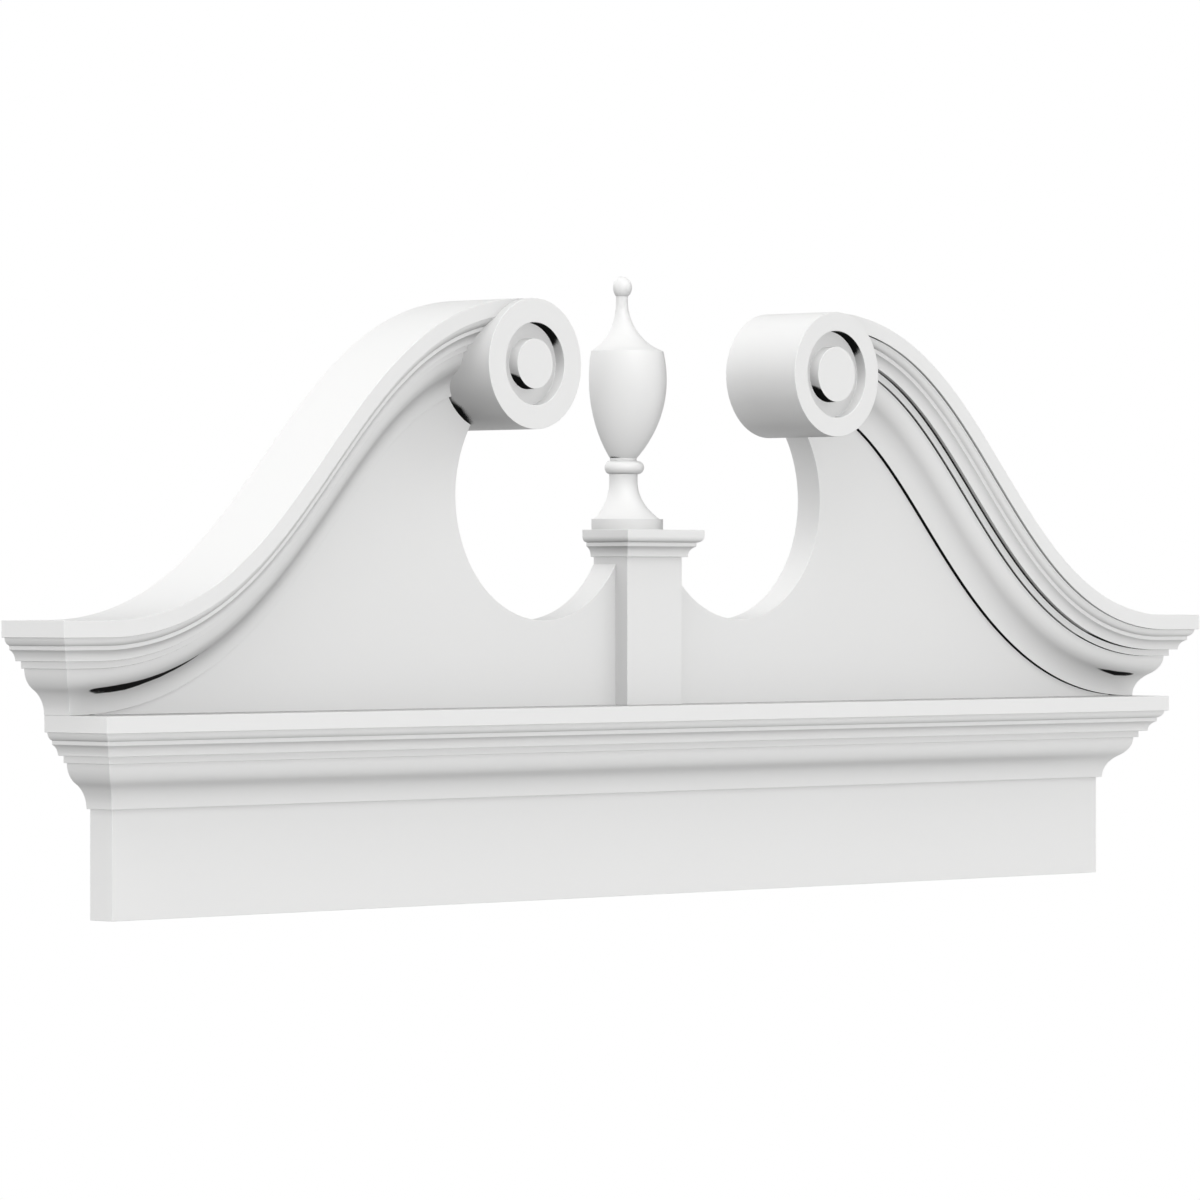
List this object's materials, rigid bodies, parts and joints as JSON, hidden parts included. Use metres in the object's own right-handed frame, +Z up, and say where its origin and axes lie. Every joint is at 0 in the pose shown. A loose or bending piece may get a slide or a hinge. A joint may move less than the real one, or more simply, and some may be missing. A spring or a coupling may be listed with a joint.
{
  "type": "door pediment",
  "caption": "Broken door pediment: swan-neck mouldings ending in rosettes, over a moulded cornice and a plain frieze, with an urn on a central plinth.",
  "frame": {"origin": "the middle of the frieze board's back face, which lies flat on the wall", "axes": "+X along the width, to the viewer's right; the front faces -Y and +Y points into the wall; +Z is up"},
  "size_m": [1.4044, 0.082, 0.5337],
  "materials": {
    "white_paint": "satin white paint on smooth moulded board"
  },
  "bodies": {
    "root": {"frieze_board": "white_paint", "cornice": "white_paint", "tympanum_left": "white_paint", "tympanum_right": "white_paint", "swan_neck_left": "white_paint", "swan_neck_right": "white_paint", "rosette_left": "white_paint", "rosette_right": "white_paint", "plinth": "white_paint", "plinth_cap": "white_paint", "urn": "white_paint"}
  },
  "joints": []
}
